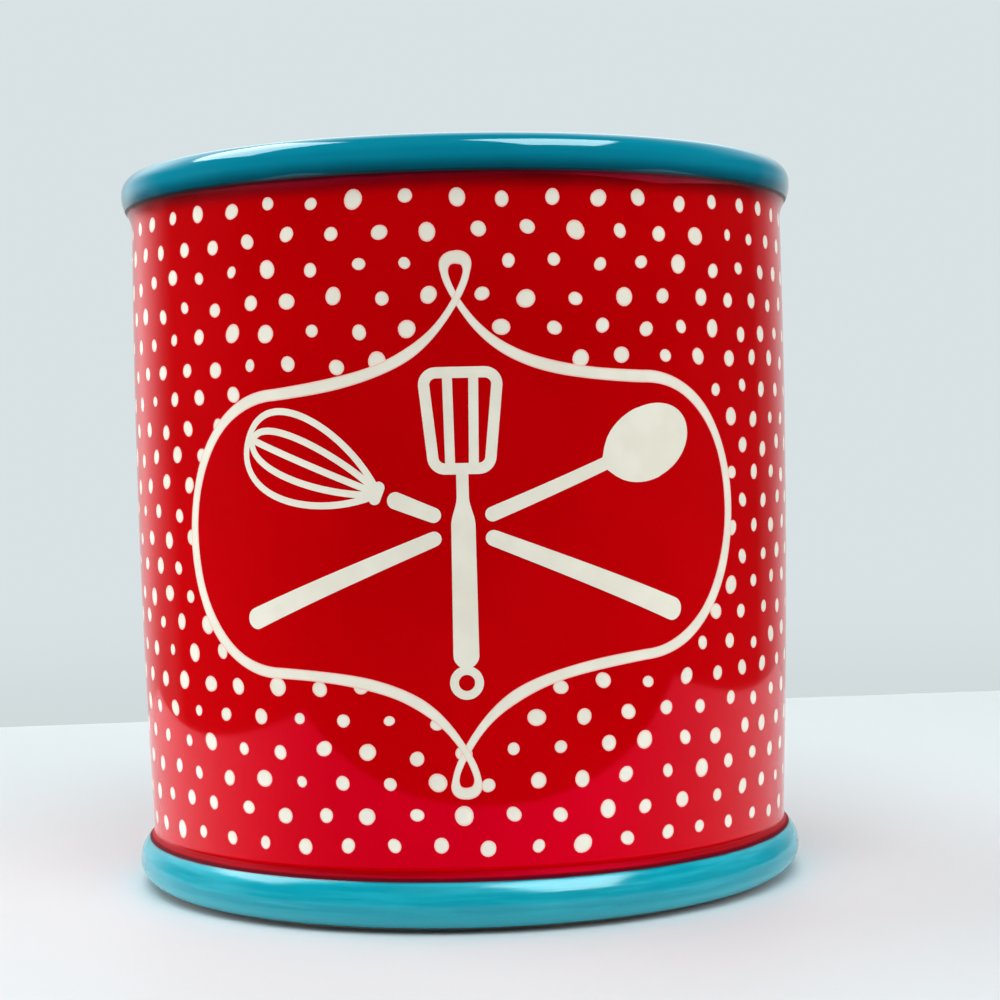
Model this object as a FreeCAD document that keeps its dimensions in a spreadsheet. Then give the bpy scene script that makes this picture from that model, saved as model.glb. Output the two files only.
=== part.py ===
"""Stoneware utensil crock: a cast clay pot with a rolled rim and foot, and the glaze coats fired onto it.

Millimetres, +Z up, origin on the table at the centre of the foot ring.
"""
import FreeCAD, Part
import math
import os

import Sketcher

doc = FreeCAD.newDocument("UtensilCrock")

# Driving dimensions, measured over the finished glaze
SIZES = {
    "overall_height": 172.4,
    "wall_diameter": 160.0,  # outside, just under the rim
    "wall_thickness": 6.0,  # there too, the bore is straight
    "wall_draft": 1.9,  # the wall's foot lies this far inside its top
    "wall_swell": 1.1,  # how far the wall bows out at mid height
    "rim_overhang": 2.4,  # how far the rim roll stands out from the wall
    "rim_face": 0.6,  # upright part of the roll, above the cove
    "rim_cove_height": 8.3,  # height of the S-shaped cove between roll and wall
    "foot_overhang": 3.55,  # how far the foot roll stands out from the wall
    "foot_roll_height": 6.1,  # of the roll's widest line
    "foot_shoulder_radius": 7.5,  # of the roll above that line
    "foot_cove_radius": 4.5,
    "foot_lift": 0.9,  # gap between the foot roll and the table
    "foot_ring_inset": 4.0,  # the ring it stands on, inside the wall's foot
    "foot_ring_width": 6.0,
    "recess_height": 3.0,  # underside of the floor, above the table
    "floor_thickness": 6.0,
    "floor_corner_radius": 10.0,
    "glaze_thickness": 0.5,
    "rim_glaze_overlap": 3.8,  # how far the rim's coat runs onto the cove
    "foot_glaze_setback": 1.0,  # the foot's coat stops this far under the top of the roll
    "dry_foot_height": 0.7,  # clay wiped bare above the table
}

sheet = doc.addObject("Spreadsheet::Sheet", "Sizes")
for row, (alias, length) in enumerate(SIZES.items(), start=1):
    sheet.set(f"A{row}", alias)
    sheet.set(f"B{row}", str(length))
    sheet.setAlias(f"B{row}", alias)
doc.recompute()

# Finished outline, as formulas on the sheet
glaze = "Sizes.glaze_thickness"
wall_top_radius = "(Sizes.wall_diameter / 2)"
wall_foot_radius = f"({wall_top_radius} - Sizes.wall_draft)"
bore_radius = f"({wall_top_radius} - Sizes.wall_thickness)"
rim_radius = f"({wall_top_radius} + Sizes.rim_overhang)"
rim_roll_radius = f"(({rim_radius} - {bore_radius}) / 2)"
rim_roll_height = f"(Sizes.overall_height - {rim_roll_radius})"
cove_top = f"({rim_roll_height} - Sizes.rim_face)"
cove_arc = "((Sizes.rim_cove_height^2 + Sizes.rim_overhang^2) / (4 * Sizes.rim_overhang))"
foot_radius = f"({wall_foot_radius} + Sizes.foot_overhang)"
foot_under_radius = "(Sizes.foot_roll_height - Sizes.foot_lift)"
foot_shoulder_centre = f"({foot_radius} - Sizes.foot_shoulder_radius)"
foot_shoulder_reach = f"({wall_foot_radius} - {foot_shoulder_centre})"
foot_roll_top = f"(Sizes.foot_roll_height + sqrt(Sizes.foot_shoulder_radius^2 - {foot_shoulder_reach}^2))"
ring_outer_radius = f"({wall_foot_radius} - Sizes.foot_ring_inset)"
ring_inner_radius = f"({ring_outer_radius} - Sizes.foot_ring_width)"
floor_height = "(Sizes.recess_height + Sizes.floor_thickness)"

# Bare clay, which lies one coat inside the finished outline
clay_bore = f"({bore_radius} + {glaze})"
clay_floor = f"({floor_height} - {glaze})"
clay_recess = f"(Sizes.recess_height + {glaze})"
clay_rim = f"({rim_radius} - {glaze})"
clay_rim_roll = f"({rim_roll_radius} - {glaze})"
clay_cove_top = f"({cove_top} + {glaze} * Sizes.rim_overhang / Sizes.rim_cove_height)"
clay_cove_foot = f"({clay_cove_top} - Sizes.rim_cove_height)"
clay_wall_top = f"({wall_top_radius} - {glaze})"
clay_wall_foot = f"({wall_foot_radius} - {glaze})"
clay_foot = f"({foot_radius} - {glaze})"
clay_foot_under = f"({foot_under_radius} - {glaze})"
clay_foot_shoulder = f"(Sizes.foot_shoulder_radius - {glaze})"
clay_foot_rise = f"sqrt({clay_foot_shoulder}^2 - ({foot_shoulder_reach} - {glaze})^2)"
clay_foot_top = f"(Sizes.foot_roll_height + {clay_foot_rise})"
clay_lift = f"(Sizes.foot_lift + {glaze})"
clay_wall_chord = f"(({clay_cove_foot} - {clay_foot_top})^2 + Sizes.wall_draft^2)"
clay_wall_arc = f"({clay_wall_chord} / (8 * Sizes.wall_swell) + Sizes.wall_swell / 2)"

# Where one coat ends and the next begins
rim_glaze_line = f"({cove_top} - Sizes.rim_glaze_overlap)"
foot_glaze_line = f"({foot_roll_top} - Sizes.foot_glaze_setback)"
inside_wall = f"(({bore_radius} + {wall_foot_radius}) / 2)"
inside_foot = f"({ring_outer_radius} - {glaze})"
inside_ring = f"(({ring_outer_radius} + {ring_inner_radius}) / 2)"
inside_floor = f"((Sizes.recess_height + {floor_height}) / 2)"
past_rim = f"({rim_radius} + Sizes.rim_overhang)"
past_top = "(Sizes.overall_height + Sizes.rim_cove_height)"


def value(formula):
    """The present value of a formula on the sheet."""
    return float(sheet.evalExpression(formula))


def bulging_arc(start, end, radius):
    """The short arc from start to end that swells to the right of the way it is drawn."""
    chord = end - start
    sagitta = radius - math.sqrt(radius ** 2 - (chord.Length / 2) ** 2)
    right = FreeCAD.Vector(chord.y, -chord.x, 0).normalize()
    return Part.Arc(start, (start + end) * 0.5 + right * sagitta, end)


def half_section(body, name, corners):
    """A closed sketch right of the axis. Each corner is (radius, height, edge that leads to it).

    An edge is None for a straight line, or ("bulge", radius) or ("hollow", radius) for an arc.
    The corners go round anticlockwise, with the clay on their left.
    """
    sketch = body.newObject("Sketcher::SketchObject", name)
    plane = next(item for item in body.Origin.OriginFeatures if item.Role == "XZ_Plane")
    sketch.AttachmentSupport = (plane, [""])
    sketch.MapMode = "FlatFace"
    points = [FreeCAD.Vector(value(radius), value(height), 0) for radius, height, _ in corners]
    first_end = []
    for index, (_, _, edge) in enumerate(corners):
        start, end = points[index - 1], points[index]
        # Every arc of a sketch runs anticlockwise, so a hollow one is drawn from its far end
        hollow = edge is not None and edge[0] == "hollow"
        if edge is None:
            sketch.addGeometry(Part.LineSegment(start, end))
        elif hollow:
            sketch.addGeometry(bulging_arc(end, start, value(edge[1])))
        else:
            sketch.addGeometry(bulging_arc(start, end, value(edge[1])))
        first_end.append(2 if hollow else 1)

    def drive(kind, *place, formula):
        number = sketch.addConstraint(Sketcher.Constraint(kind, *place, value(formula)))
        sketch.setExpression(f"Constraints[{number}]", formula)

    for index, (radius, height, edge) in enumerate(corners):
        following = (index + 1) % len(corners)
        far_end = 3 - first_end[index]
        sketch.addConstraint(
            Sketcher.Constraint("Coincident", index, far_end, following, first_end[following]))
        if radius == "0":
            sketch.addConstraint(Sketcher.Constraint("PointOnObject", index, far_end, -2))
        else:
            drive("DistanceX", -1, 1, index, far_end, formula=radius)
        if height == "0":
            sketch.addConstraint(Sketcher.Constraint("PointOnObject", index, far_end, -1))
        else:
            drive("DistanceY", -1, 1, index, far_end, formula=height)
        if edge is not None:
            drive("Radius", index, formula=edge[1])
    return sketch


def round_edge(body, base, name, radius, place):
    """A fillet of the base feature's round edge at a place, given as (radius, height)."""
    # Opposite the sketch, where no seam of a turned face can be nearer
    point = Part.Vertex(-value(place[0]), 0, value(place[1]))
    distances = [edge.distToShape(point)[0] for edge in base.Shape.Edges]
    fillet = body.newObject("PartDesign::Fillet", name)
    fillet.Base = (base, [f"Edge{distances.index(min(distances)) + 1}"])
    fillet.setExpression("Radius", radius)
    doc.recompute()
    return fillet


def make_stoneware_body():
    """The clay casting: floor, bowed wall, rim roll, foot roll and the bare ring it stands on."""
    body = doc.addObject("PartDesign::Body", "stoneware_body")
    section = half_section(body, "CrockSection", [
        ("0", clay_recess, None),
        (ring_inner_radius, clay_recess, None),
        (ring_inner_radius, "0", None),
        (ring_outer_radius, "0", None),
        (ring_outer_radius, clay_lift, None),
        (f"{foot_radius} - {foot_under_radius}", clay_lift, None),
        (clay_foot, "Sizes.foot_roll_height", ("bulge", clay_foot_under)),
        (clay_wall_foot, clay_foot_top, ("bulge", clay_foot_shoulder)),
        (clay_wall_top, clay_cove_foot, ("bulge", clay_wall_arc)),
        (f"({clay_wall_top} + {clay_rim}) / 2", f"({clay_cove_foot} + {clay_cove_top}) / 2",
         ("hollow", cove_arc)),
        (clay_rim, clay_cove_top, ("bulge", cove_arc)),
        (clay_rim, rim_roll_height, None),
        (f"{clay_rim} - {clay_rim_roll}", f"Sizes.overall_height - {glaze}", ("bulge", clay_rim_roll)),
        (clay_bore, rim_roll_height, ("bulge", clay_rim_roll)),
        (clay_bore, clay_floor, None),
        ("0", clay_floor, None),
    ])
    doc.recompute()
    casting = body.newObject("PartDesign::Revolution", "Casting")
    casting.Profile = (section, [""])
    casting.ReferenceAxis = (section, ["V_Axis"])
    casting.Angle = 360
    doc.recompute()
    foot_cove = round_edge(body, casting, "FootCove", f"Sizes.foot_cove_radius + {glaze}",
                           (clay_wall_foot, clay_foot_top))
    round_edge(body, foot_cove, "FloorCorner", f"Sizes.floor_corner_radius + {glaze}",
               (clay_bore, clay_floor))
    return body


def cylinder(name, radius, bottom, top):
    """An upright cylinder about the crock's axis between two heights."""
    solid = doc.addObject("Part::Cylinder", name)
    solid.setExpression("Radius", radius)
    solid.setExpression("Height", f"{top} - {bottom}")
    solid.setExpression("Placement.Base.z", bottom)
    return solid


def boolean(kind, name, base, tool):
    """A Cut or Common of two solids."""
    result = doc.addObject(f"Part::{kind}", name)
    result.Base = base
    result.Tool = tool
    return result


stoneware_body = make_stoneware_body()

# One even skin of glaze over the clay, which the coats share out by colour
dipped_crock = doc.addObject("Part::Offset", "DippedCrock")
dipped_crock.Source = stoneware_body
dipped_crock.setExpression("Value", glaze)
dipped_crock.Join = "Arc"
glaze_skin = boolean("Cut", "GlazeSkin", dipped_crock, stoneware_body)

# Each coat is (name, inner radius or None, outer radius, lower edge, upper edge)
COATS = [
    ("rim_glaze", None, past_rim, rim_glaze_line, past_top),
    ("wall_glaze", inside_wall, past_rim, foot_glaze_line, rim_glaze_line),
    ("foot_glaze", inside_foot, past_rim, "Sizes.dry_foot_height", foot_glaze_line),
    ("liner_glaze", None, inside_wall, inside_floor, rim_glaze_line),
    ("underside_glaze", None, inside_ring, "Sizes.dry_foot_height", inside_floor),
]
sub_parts = [stoneware_body]
for coat, inner, outer, lower, upper in COATS:
    zone = cylinder(f"{coat}_zone", outer, lower, upper)
    if inner:
        zone = boolean("Cut", f"{coat}_ring", zone, cylinder(f"{coat}_core", inner, lower, upper))
    sub_parts.append(boolean("Common", coat, glaze_skin, zone))
doc.recompute()

for item in doc.Objects:
    if "Invalid" in item.State or "Error" in item.State:
        raise RuntimeError(f"{item.Label} failed: {item.State}")
for sub_part in sub_parts:
    shape = sub_part.Shape
    if shape.isNull() or not shape.isValid() or len(shape.Solids) != 1:
        raise RuntimeError(f"{sub_part.Label} is not one valid solid")

os.makedirs("parts", exist_ok=True)
for sub_part in sub_parts:
    sub_part.Shape.exportStep(f"parts/{sub_part.Label}.step")
    print(sub_part.Label, round(sub_part.Shape.Volume, 1), "mm3")
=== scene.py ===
"""Looks of the utensil crock: glazed stoneware with a white enamel print, on a pale table.

Metres in Blender, +Z up. Sizes below are millimetres over the finished glaze, as in the part's source.
"""

import math
import random

import bpy
from mathutils import Matrix, Vector


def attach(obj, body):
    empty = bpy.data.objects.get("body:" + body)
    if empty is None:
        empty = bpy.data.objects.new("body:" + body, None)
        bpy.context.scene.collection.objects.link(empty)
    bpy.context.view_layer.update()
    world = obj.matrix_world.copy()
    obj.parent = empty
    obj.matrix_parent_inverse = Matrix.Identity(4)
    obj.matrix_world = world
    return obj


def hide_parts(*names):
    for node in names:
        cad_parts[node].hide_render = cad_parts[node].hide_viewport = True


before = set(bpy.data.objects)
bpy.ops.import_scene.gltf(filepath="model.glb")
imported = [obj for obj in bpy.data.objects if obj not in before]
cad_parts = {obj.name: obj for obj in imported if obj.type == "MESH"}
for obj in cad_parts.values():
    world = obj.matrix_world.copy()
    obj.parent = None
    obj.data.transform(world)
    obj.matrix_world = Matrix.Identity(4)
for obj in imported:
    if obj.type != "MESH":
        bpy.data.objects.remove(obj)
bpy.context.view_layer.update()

MM = 0.001

# The finished half section
OVERALL_HEIGHT = 172.4
WALL_TOP_RADIUS = 80.0
WALL_FOOT_RADIUS = 78.1
WALL_SWELL = 1.1
BORE_RADIUS = 74.0
RIM_RADIUS = 82.4
RIM_FACE = 0.6
RIM_COVE_HEIGHT = 8.3
RIM_GLAZE_OVERLAP = 3.8
FOOT_RADIUS = 81.65
FOOT_ROLL_HEIGHT = 6.1
FOOT_SHOULDER = 7.5
FOOT_COVE_RADIUS = 4.5
FOOT_LIFT = 0.9
FOOT_GLAZE_SETBACK = 1.0
FOOT_RING_OUTER = 74.6
RECESS_RADIUS = 67.6
RECESS_HEIGHT = 3.0
FLOOR_HEIGHT = 9.0
FLOOR_CORNER = 10.0
GLAZE = 0.5
DRY_FOOT = 0.7

# Steps round the crock and along the arcs and straights of its section, and rings on its flats
TURN_STEPS = 256
RIM_BULGE_STEPS = 14
RIM_ROLL_STEPS = 48
WALL_BULGE_STEPS = 4
WALL_HOLLOW_STEPS = 18
WALL_STEPS = 48
FOOT_COVE_STEPS = 16
FOOT_SHOULDER_STEPS = 20
FOOT_UNDER_STEPS = 28
LINER_STEPS = 30
FLOOR_CORNER_STEPS = 18
FLAT_RINGS = (0.75, 0.5, 0.25, 0.06)
RECESS_RINGS = (0.96, *FLAT_RINGS)

# Edges that turn more than this, in degrees, stay crisp
SHARP_EDGE = 40.0

# The print, laid out flat: across from the middle of the front, up from the middle of the frame
PRINT_RADIUS = 79.8
PRINT_MIDDLE = 88.0
PRINT_STANDOFF = 0.7
ENAMEL = 0.08
ENAMEL_LIFT = 0.045
LIFT_STEP = 0.012
CUT_SPACING = 2.0
MERGE_DISTANCE = 0.01


# Modelling helpers

def clear_selection():
    bpy.ops.object.select_all(action="DESELECT")


def make_active(piece):
    clear_selection()
    piece.select_set(True)
    bpy.context.view_layer.objects.active = piece


def settle(name):
    """Names the piece just made and puts its place into its mesh."""
    piece = bpy.context.object
    piece.name = name
    piece.data.name = name
    bpy.ops.object.transform_apply(location=True, rotation=True, scale=True)
    return piece


def apply_modifier(piece, kind, **settings):
    """Adds a modifier to a piece, sets it and applies it."""
    make_active(piece)
    bpy.ops.object.modifier_add(type=kind)
    modifier = piece.modifiers[-1]
    for name, setting in settings.items():
        setattr(modifier, name, setting)
    bpy.ops.object.modifier_apply(modifier=modifier.name)


def join_pieces(pieces, name):
    """Joins pieces into one, which sits at the origin."""
    clear_selection()
    for piece in pieces:
        piece.select_set(True)
    bpy.context.view_layer.objects.active = pieces[0]
    bpy.ops.object.join()
    return settle(name)


def select_part(piece, chosen):
    """In edit mode, selects the vertices whose place passes a test, and what lies between them."""
    bpy.ops.mesh.select_all(action="DESELECT")
    bpy.ops.object.mode_set(mode="OBJECT")
    for vertex in piece.data.vertices:
        vertex.select = chosen(vertex.co)
    for edge in piece.data.edges:
        edge.select = all(piece.data.vertices[end].select for end in edge.vertices)
    for face in piece.data.polygons:
        face.select = all(piece.data.vertices[corner].select for corner in face.vertices)
    bpy.ops.object.mode_set(mode="EDIT")


# The half section, as points (radius, height)

def arc(centre, radius, start, end, steps):
    """Points along an arc between two angles in degrees."""
    points = []
    for step in range(steps + 1):
        angle = math.radians(start + (end - start) * step / steps)
        points.append((centre[0] + radius * math.cos(angle), centre[1] + radius * math.sin(angle)))
    return points


def angle_at_height(centre, radius, height):
    """Angle in degrees of the outer point of a circle at a height."""
    return math.degrees(math.asin((height - centre[1]) / radius))


def direction(start, end):
    """Angle in degrees from one point to another."""
    return math.degrees(math.atan2(end[1] - start[1], end[0] - start[0]))


# The rim roll, and the S of two equal arcs that leads from it into the wall
RIM_ROLL = (RIM_RADIUS - BORE_RADIUS) / 2
RIM_CENTRE = (BORE_RADIUS + RIM_ROLL, OVERALL_HEIGHT - RIM_ROLL)
RIM_OVERHANG = RIM_RADIUS - WALL_TOP_RADIUS
COVE_TOP = RIM_CENTRE[1] - RIM_FACE
COVE_FOOT = COVE_TOP - RIM_COVE_HEIGHT
COVE_ARC = (RIM_COVE_HEIGHT ** 2 + RIM_OVERHANG ** 2) / (4 * RIM_OVERHANG)
COVE_HOLLOW = (WALL_TOP_RADIUS + COVE_ARC, COVE_FOOT)
COVE_BULGE = (RIM_RADIUS - COVE_ARC, COVE_TOP)
cove_turn = direction(COVE_BULGE, COVE_HOLLOW)
RIM_GLAZE_LINE = COVE_TOP - RIM_GLAZE_OVERLAP
rim_line_angle = angle_at_height(COVE_BULGE, COVE_ARC, RIM_GLAZE_LINE)

# The foot roll, fuller under its widest line than over it
SHOULDER_CENTRE = (FOOT_RADIUS - FOOT_SHOULDER, FOOT_ROLL_HEIGHT)
FOOT_UNDER = FOOT_ROLL_HEIGHT - FOOT_LIFT
UNDER_CENTRE = (FOOT_RADIUS - FOOT_UNDER, FOOT_ROLL_HEIGHT)
shoulder_reach = WALL_FOOT_RADIUS - SHOULDER_CENTRE[0]
FOOT_ROLL_TOP = FOOT_ROLL_HEIGHT + math.sqrt(FOOT_SHOULDER ** 2 - shoulder_reach ** 2)
FOOT_GLAZE_LINE = FOOT_ROLL_TOP - FOOT_GLAZE_SETBACK
foot_line_angle = angle_at_height(SHOULDER_CENTRE, FOOT_SHOULDER, FOOT_GLAZE_LINE)

# The wall is one flat arc from the foot roll to the rim's cove
wall_rise = COVE_FOOT - FOOT_ROLL_TOP
wall_lean = WALL_TOP_RADIUS - WALL_FOOT_RADIUS
wall_chord = math.hypot(wall_rise, wall_lean)
WALL_ARC = wall_chord ** 2 / (8 * WALL_SWELL) + WALL_SWELL / 2
wall_depth = WALL_ARC - WALL_SWELL
WALL_CENTRE = (
    (WALL_TOP_RADIUS + WALL_FOOT_RADIUS) / 2 - wall_depth * wall_rise / wall_chord,
    (COVE_FOOT + FOOT_ROLL_TOP) / 2 + wall_depth * wall_lean / wall_chord,
)


def meeting_point(first, first_radius, second, second_radius):
    """The upper outer point that lies at given distances from two centres."""
    gap = math.dist(first, second)
    along = (gap ** 2 + first_radius ** 2 - second_radius ** 2) / (2 * gap)
    aside = math.sqrt(first_radius ** 2 - along ** 2)
    way = ((second[0] - first[0]) / gap, (second[1] - first[1]) / gap)
    return (first[0] + along * way[0] - aside * way[1], first[1] + along * way[1] + aside * way[0])


# The small cove from the wall into the foot roll
FOOT_COVE_CENTRE = meeting_point(
    WALL_CENTRE, WALL_ARC + FOOT_COVE_RADIUS, SHOULDER_CENTRE, FOOT_SHOULDER + FOOT_COVE_RADIUS)
cove_at_wall = direction(FOOT_COVE_CENTRE, WALL_CENTRE) % 360
cove_at_line = 180 - angle_at_height(FOOT_COVE_CENTRE, FOOT_COVE_RADIUS, FOOT_GLAZE_LINE)
WALL_FOOT_HEIGHT = FOOT_COVE_CENTRE[1] + FOOT_COVE_RADIUS * math.sin(math.radians(cove_at_wall))

RIM_SECTION = (
    arc(COVE_BULGE, COVE_ARC, rim_line_angle, 0, RIM_BULGE_STEPS)
    + arc(RIM_CENTRE, RIM_ROLL, 0, 180, RIM_ROLL_STEPS)
    + [(BORE_RADIUS, RIM_GLAZE_LINE)]
)
WALL_SECTION = (
    arc(COVE_BULGE, COVE_ARC, rim_line_angle, cove_turn, WALL_BULGE_STEPS)
    + arc(COVE_HOLLOW, COVE_ARC, cove_turn + 180, 180, WALL_HOLLOW_STEPS)[1:]
    + arc(WALL_CENTRE, WALL_ARC, angle_at_height(WALL_CENTRE, WALL_ARC, COVE_FOOT),
          angle_at_height(WALL_CENTRE, WALL_ARC, WALL_FOOT_HEIGHT), WALL_STEPS)[1:]
    + arc(FOOT_COVE_CENTRE, FOOT_COVE_RADIUS, cove_at_wall, cove_at_line, FOOT_COVE_STEPS)[1:]
)
FOOT_SECTION = (
    arc(SHOULDER_CENTRE, FOOT_SHOULDER, foot_line_angle, 0, FOOT_SHOULDER_STEPS)
    + arc(UNDER_CENTRE, FOOT_UNDER, 0, -90, FOOT_UNDER_STEPS)[1:]
    + [(FOOT_RING_OUTER, FOOT_LIFT), (FOOT_RING_OUTER, DRY_FOOT)]
)
BORE_DEPTH = RIM_GLAZE_LINE - FLOOR_HEIGHT - FLOOR_CORNER
FLOOR_RADIUS = BORE_RADIUS - FLOOR_CORNER
LINER_SECTION = (
    [(BORE_RADIUS, RIM_GLAZE_LINE - BORE_DEPTH * step / LINER_STEPS) for step in range(LINER_STEPS)]
    + arc((FLOOR_RADIUS, FLOOR_HEIGHT + FLOOR_CORNER), FLOOR_CORNER, 0, -90, FLOOR_CORNER_STEPS)
    + [(FLOOR_RADIUS * share, FLOOR_HEIGHT) for share in FLAT_RINGS]
)
UNDERSIDE_SECTION = (
    [(RECESS_RADIUS, DRY_FOOT), (RECESS_RADIUS, RECESS_HEIGHT)]
    + [(RECESS_RADIUS * share, RECESS_HEIGHT) for share in RECESS_RINGS]
)


# Shader helpers

class Shade:
    """One output of a node. Sums and products of it add Math nodes."""

    def __init__(self, nodes, socket):
        self.nodes = nodes
        self.socket = socket

    def math(self, operation, first, second):
        return self.nodes.add("ShaderNodeMath", {"operation": operation}, {0: first, 1: second})

    def __add__(self, other):
        return self.math("ADD", self, other)

    def __radd__(self, other):
        return self.math("ADD", other, self)

    def __sub__(self, other):
        return self.math("SUBTRACT", self, other)

    def __rsub__(self, other):
        return self.math("SUBTRACT", other, self)

    def __mul__(self, other):
        return self.math("MULTIPLY", self, other)

    def __rmul__(self, other):
        return self.math("MULTIPLY", other, self)

    def __truediv__(self, other):
        return self.math("DIVIDE", self, other)

    def __rtruediv__(self, other):
        return self.math("DIVIDE", other, self)


class Nodes:
    """The node tree of a finish or of the surroundings."""

    def __init__(self, tree):
        self.tree = tree
        tree.nodes.clear()

    def add(self, kind, settings=None, sockets=None, output=0):
        """Adds a node, sets it, fills its sockets with values or links and gives one output."""
        node = self.tree.nodes.new(kind)
        for name, setting in (settings or {}).items():
            setattr(node, name, setting)
        for name, value in (sockets or {}).items():
            if isinstance(value, Shade):
                self.tree.links.new(value.socket, node.inputs[name])
            else:
                node.inputs[name].default_value = value
        return Shade(self, node.outputs[output]) if node.outputs else None

    def between(self, value, low, high):
        """0 under low, 1 over high and a soft rise between them."""
        return self.add("ShaderNodeMapRange", {"interpolation_type": "SMOOTHSTEP"},
                        {"Value": value, "From Min": low, "From Max": high})

    def band(self, length, ends):
        """The same soft rise, between two lengths that are given in millimetres."""
        return self.between(length, ends[0] * MM, ends[1] * MM)

    def strip(self, value, start, full, end, gone):
        """1 from full to end, with soft edges that reach 0 at start and at gone."""
        return self.between(value, start, full) * self.between(value, gone, end)

    def place(self):
        """The place on a piece."""
        return self.add("ShaderNodeTexCoord", output="Object")

    def part_of(self, place, axis):
        """One number of a place: 0 across, 1 in depth or 2 in height."""
        return self.add("ShaderNodeSeparateXYZ", None, {0: place}, output=axis)

    def noise(self, place, scale, detail=2.0, roughness=0.5):
        return self.add("ShaderNodeTexNoise", None,
                        {"Vector": place, "Scale": scale, "Detail": detail, "Roughness": roughness})

    def blend(self, share, first, second):
        """A mix of two colours."""
        return self.add("ShaderNodeMix", {"data_type": "RGBA"},
                        {0: share, 6: first, 7: second}, output=2)

    def relief(self, height, strength, depth):
        """A normal that shows a height, with a depth in millimetres."""
        return self.add("ShaderNodeBump", None,
                        {"Strength": strength, "Distance": depth * MM, "Height": height})


def paint(red, green, blue):
    """A colour as it shows on a screen, 0 to 255, for a colour socket."""
    linear = []
    for level in (red, green, blue):
        share = level / 255
        linear.append(share / 12.92 if share <= 0.04045 else ((share + 0.055) / 1.055) ** 2.4)
    return (*linear, 1.0)


def new_finish(name):
    finish = bpy.data.materials.new(name)
    finish.use_nodes = True
    return finish, Nodes(finish.node_tree)


def close_finish(nodes, sockets):
    """The Principled shader and the output."""
    surface = nodes.add("ShaderNodeBsdfPrincipled", None, sockets)
    nodes.add("ShaderNodeOutputMaterial", None, {"Surface": surface})


def soft_waves(nodes, place, scale, strength):
    """The slight unevenness of a fired glaze, as a normal."""
    return nodes.relief(nodes.noise(place, scale, detail=1.0), strength, GLAZE_RELIEF)


# Finishes. A band of a finish has two lengths in millimetres: where it begins, and where it is full

GLAZE_RELIEF = 0.5
CLAY_RELIEF = 0.3
LINE_WANDER = 0.8

# The wall, by height, by height over the foot's glaze line and by depth under the rim's
# Painted bounce light: the red is lighter towards the bottom, as if lit from the table below
WALL_PAINTED_BOUNCE = (160.0, 30.0)
RED_OVER_FOOT = (1.3, 0.5)
RED_MATT = (2.4, 1.5)
RED_COVE_SHADE = (2.8, 1.4)
RED_UNDER_RIM = (0.9, 0.2)
RED_PAINTED_SHADE = (4.4, 0.0)
RED_DRY = (4.6, 1.2)
DRY_LEFT = (-72.0, -50.0)
DRY_RIGHT = (22.0, 2.0)

# The rim and the foot, by height. The first band tells one from the other
RIM_FROM_FOOT = (100.0, 120.0)
RIM_PAINTED_SHADE = (RIM_GLAZE_LINE + 4.0, RIM_GLAZE_LINE)
RIM_LINE = (RIM_GLAZE_LINE + 0.7, RIM_GLAZE_LINE + 0.1)
FOOT_LINE = (FOOT_GLAZE_LINE - 0.35, FOOT_GLAZE_LINE)
FOOT_PAINTED_REFLECTION = (5.2, 3.4)
FOOT_PAINTED_SHADE = (1.6, 1.05)

# The painted shade on the bare foot ring's outer edge, by distance from the middle of the foot and by
# height
RING_EDGE = (FOOT_RING_OUTER - 0.5, FOOT_RING_OUTER - 0.2)
RING_EDGE_HEIGHT = (1.4, 1.0)

# The print's edge, as the square of its distance from the middle
ENAMEL_EDGE = 0.24


def make_red_glaze():
    finish, nodes = new_finish("red_glaze")
    place = nodes.place()
    across = nodes.part_of(place, 0)
    height = nodes.part_of(place, 2)
    cloud = nodes.noise(place, 28.0, detail=3.0)
    speckle = nodes.noise(place, 900.0, detail=2.0)
    wander = (nodes.noise(place, 90.0) - 0.5) * (LINE_WANDER * MM)
    # Painted bounce light: the red grows lighter towards the bottom of the wall
    low = nodes.band(height, WALL_PAINTED_BOUNCE)
    deep = nodes.blend(low, paint(187, 0, 3), paint(195, 0, 4))
    bright = nodes.blend(low, paint(195, 1, 5), paint(202, 1, 7))
    tone = nodes.blend(nodes.between(cloud, 0.3, 0.7), deep, bright)
    tone = nodes.blend(nodes.between(speckle, 0.62, 0.8) * 0.2, tone, paint(164, 0, 4))
    above_foot = height + wander * 0.5 - FOOT_GLAZE_LINE * MM
    under_rim = RIM_GLAZE_LINE * MM - height + wander
    # Painted shade: the red darkens towards the rim, under the roll's overhang
    tone = nodes.blend(nodes.band(under_rim, RED_PAINTED_SHADE) * 0.8, tone, paint(48, 6, 8))
    # A dark line where the two glazes overlap, at the foot and at the rim, deepened by painted shade in
    # the crease there
    overlap_and_crease_shade = nodes.band(above_foot, RED_OVER_FOOT) + nodes.band(under_rim, RED_UNDER_RIM)
    tone = nodes.blend(overlap_and_crease_shade, tone, paint(22, 4, 6))
    # Painted shade: the red is darker in the cove over the foot roll
    cove_painted_shade = nodes.band(above_foot, RED_COVE_SHADE) * (1 - overlap_and_crease_shade)
    tone = nodes.blend(cove_painted_shade * 0.8, tone, paint(108, 0, 2))
    # The glaze is matt at the foot, and a little dry on one side of the rim's cove
    matt = nodes.band(above_foot, RED_MATT)
    dry = nodes.band(under_rim, RED_DRY) * nodes.band(across, DRY_LEFT) * nodes.band(across, DRY_RIGHT)
    gloss = 0.04 + nodes.noise(place, 60.0, detail=3.0) * 0.03
    gloss = gloss + overlap_and_crease_shade * 0.3 + matt * 0.5 + dry * 0.3
    close_finish(nodes, {
        "Base Color": tone, "Roughness": gloss, "IOR": 2.2, "Specular Tint": (1.0, 0.0, 0.08, 1.0),
        "Normal": soft_waves(nodes, place, 45.0, 0.05),
    })
    return finish


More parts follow.
